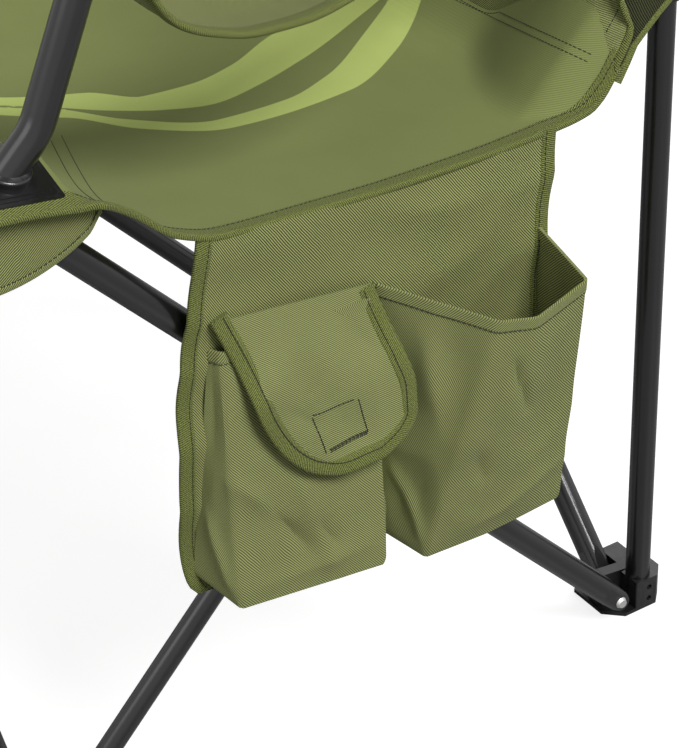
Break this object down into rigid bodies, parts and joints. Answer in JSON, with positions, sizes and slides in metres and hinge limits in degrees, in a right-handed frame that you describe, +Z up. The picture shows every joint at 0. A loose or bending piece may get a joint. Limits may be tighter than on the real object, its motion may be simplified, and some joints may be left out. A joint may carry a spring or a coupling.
{
  "type": "folding camp chair",
  "caption": "Folding camp chair: crossed tube legs between moulded feet, sliding rear hubs, bent arm posts, a hammock fabric seat, backrest and armrests, and a side organiser.",
  "frame": {"origin": "on the floor, under the middle of the open chair's bounding box", "axes": "+Z up, -Y the way the sitter faces, +X the sitter's left, the side with the organiser"},
  "size_m": [0.6242, 0.545, 0.935],
  "materials": {
    "tube": "satin",
    "plastic": "satin",
    "rivet": "satin",
    "canvas": "matte"
  },
  "bodies": {
    "frame_root": {"rear_left_foot": "plastic", "rear_left_post": "tube", "rear_left_cap": "plastic", "rear_left_foot_rivets": "rivet", "backrest": "canvas", "left_armrest": "canvas"},
    "left_rear_leg_body": {"left_rear_leg": "tube", "left_cross_rivet": "rivet"},
    "left_front_leg_body": {"left_front_leg": "tube"},
    "front_left_foot_body": {"front_left_foot": "plastic", "front_left_foot_rivets": "rivet"},
    "front_left_corner": {"front_left_bracket": "plastic", "front_left_bracket_rivets": "rivet", "front_left_plate": "plastic", "left_arm_post": "tube", "left_arm_cap": "plastic", "front_left_corner_flap": "canvas"},
    "rear_left_slider_body": {"rear_left_slider": "plastic", "rear_left_slider_rivets": "rivet", "seat": "canvas", "organiser_panel": "canvas", "flap_pocket": "canvas", "open_pocket": "canvas"},
    "pocket_flap_body": {"pocket_flap": "canvas"},
    "back_leg_from_left_body": {"back_leg_from_left": "tube", "back_cross_rivet": "rivet"},
    "back_leg_from_right_body": {"back_leg_from_right": "tube"},
    "rear_right_side": {"rear_right_foot": "plastic", "rear_right_post": "tube", "rear_right_cap": "plastic", "rear_right_foot_rivets": "rivet", "right_armrest": "canvas"},
    "right_rear_leg_body": {"right_rear_leg": "tube", "right_cross_rivet": "rivet"},
    "right_front_leg_body": {"right_front_leg": "tube"},
    "front_right_foot_body": {"front_right_foot": "plastic", "front_right_foot_rivets": "rivet"},
    "front_right_corner": {"front_right_bracket": "plastic", "front_right_bracket_rivets": "rivet", "front_right_plate": "plastic", "right_arm_post": "tube", "right_arm_cap": "plastic", "front_right_corner_flap": "canvas"},
    "rear_right_slider_body": {"rear_right_slider": "plastic", "rear_right_slider_rivets": "rivet"},
    "front_leg_from_left_body": {"front_leg_from_left": "tube", "front_cross_rivet": "rivet"},
    "front_leg_from_right_body": {"front_leg_from_right": "tube"}
  },
  "joints": [
    {"name": "fold", "type": "hinge", "parent": "frame_root", "child": "left_rear_leg_body", "pos_m": [0.2487, 0.2065, 0.022], "axis": [-1, 0, 0], "range_deg": [0, 33.3], "deforming": ["seat", "backrest", "left_armrest", "right_armrest"]},
    {"name": "left_side_crossing", "type": "hinge", "parent": "left_rear_leg_body", "child": "left_front_leg_body", "pos_m": [0.2401, -0.021, 0.26342], "axis": [-1, 0, 0], "range_deg": [-66.6, 0]},
    {"name": "front_left_foot_pivot", "type": "hinge", "parent": "left_front_leg_body", "child": "front_left_foot_body", "pos_m": [0.23115, -0.2485, 0.022], "axis": [-1, 0, 0], "range_deg": [0, 33.3]},
    {"name": "front_left_corner_pivot", "type": "hinge", "parent": "left_rear_leg_body", "child": "front_left_corner", "pos_m": [0.2487, -0.2485, 0.50483], "axis": [-1, 0, 0], "range_deg": [-33.3, 0]},
    {"name": "rear_left_slider_pivot", "type": "hinge", "parent": "left_front_leg_body", "child": "rear_left_slider_body", "pos_m": [0.23115, 0.2065, 0.50483], "axis": [-1, 0, 0], "range_deg": [0, 33.3]},
    {"name": "back_left_foot_pivot", "type": "hinge", "parent": "frame_root", "child": "back_leg_from_left_body", "pos_m": [0.2128, 0.222, 0.0157], "axis": [0, 1, 0], "range_deg": [0, 33.3]},
    {"name": "back_crossing", "type": "hinge", "parent": "back_leg_from_left_body", "child": "back_leg_from_right_body", "pos_m": [-0.0147, 0.23165, 0.25712], "axis": [0, 1, 0], "range_deg": [-66.6, 0]},
    {"name": "back_right_foot_pivot", "type": "hinge", "parent": "back_leg_from_right_body", "child": "rear_right_side", "pos_m": [-0.2422, 0.2413, 0.0157], "axis": [0, 1, 0], "range_deg": [0, 33.3]},
    {"name": "right_rear_leg_pivot", "type": "hinge", "parent": "rear_right_side", "child": "right_rear_leg_body", "pos_m": [-0.2781, 0.2065, 0.022], "axis": [-1, 0, 0], "range_deg": [0, 33.3]},
    {"name": "right_side_crossing", "type": "hinge", "parent": "right_rear_leg_body", "child": "right_front_leg_body", "pos_m": [-0.2695, -0.021, 0.26342], "axis": [-1, 0, 0], "range_deg": [-66.6, 0]},
    {"name": "front_right_foot_pivot", "type": "hinge", "parent": "right_front_leg_body", "child": "front_right_foot_body", "pos_m": [-0.26055, -0.2485, 0.022], "axis": [-1, 0, 0], "range_deg": [0, 33.3]},
    {"name": "front_right_corner_pivot", "type": "hinge", "parent": "right_rear_leg_body", "child": "front_right_corner", "pos_m": [-0.2781, -0.2485, 0.50483], "axis": [-1, 0, 0], "range_deg": [-33.3, 0]},
    {"name": "rear_right_slider_pivot", "type": "hinge", "parent": "right_front_leg_body", "child": "rear_right_slider_body", "pos_m": [-0.26055, 0.2065, 0.50483], "axis": [-1, 0, 0], "range_deg": [0, 33.3]},
    {"name": "front_cross_left_foot_pivot", "type": "hinge", "parent": "front_left_foot_body", "child": "front_leg_from_left_body", "pos_m": [0.2128, -0.25815, 0.0157], "axis": [0, 1, 0], "range_deg": [0, 33.3]},
    {"name": "front_crossing", "type": "hinge", "parent": "front_leg_from_left_body", "child": "front_leg_from_right_body", "pos_m": [-0.0147, -0.2485, 0.25712], "axis": [0, 1, 0], "range_deg": [-66.6, 0]},
    {"name": "pocket_flap_hinge", "type": "hinge", "parent": "rear_left_slider_body", "child": "pocket_flap_body", "pos_m": [0.2689, -0.0675, 0.388], "axis": [0, -1, 0], "range_deg": [0, 150]}
  ],
  "couplings": [
    {"joint": "left_side_crossing", "follows": "fold", "ratio": -2},
    {"joint": "front_left_foot_pivot", "follows": "fold", "ratio": 1},
    {"joint": "front_left_corner_pivot", "follows": "fold", "ratio": -1},
    {"joint": "rear_left_slider_pivot", "follows": "fold", "ratio": 1},
    {"joint": "back_left_foot_pivot", "follows": "fold", "ratio": 1},
    {"joint": "back_crossing", "follows": "fold", "ratio": -2},
    {"joint": "back_right_foot_pivot", "follows": "fold", "ratio": 1},
    {"joint": "right_rear_leg_pivot", "follows": "fold", "ratio": 1},
    {"joint": "right_side_crossing", "follows": "fold", "ratio": -2},
    {"joint": "front_right_foot_pivot", "follows": "fold", "ratio": 1},
    {"joint": "front_right_corner_pivot", "follows": "fold", "ratio": -1},
    {"joint": "rear_right_slider_pivot", "follows": "fold", "ratio": 1},
    {"joint": "front_cross_left_foot_pivot", "follows": "fold", "ratio": 1},
    {"joint": "front_crossing", "follows": "fold", "ratio": -2}
  ]
}
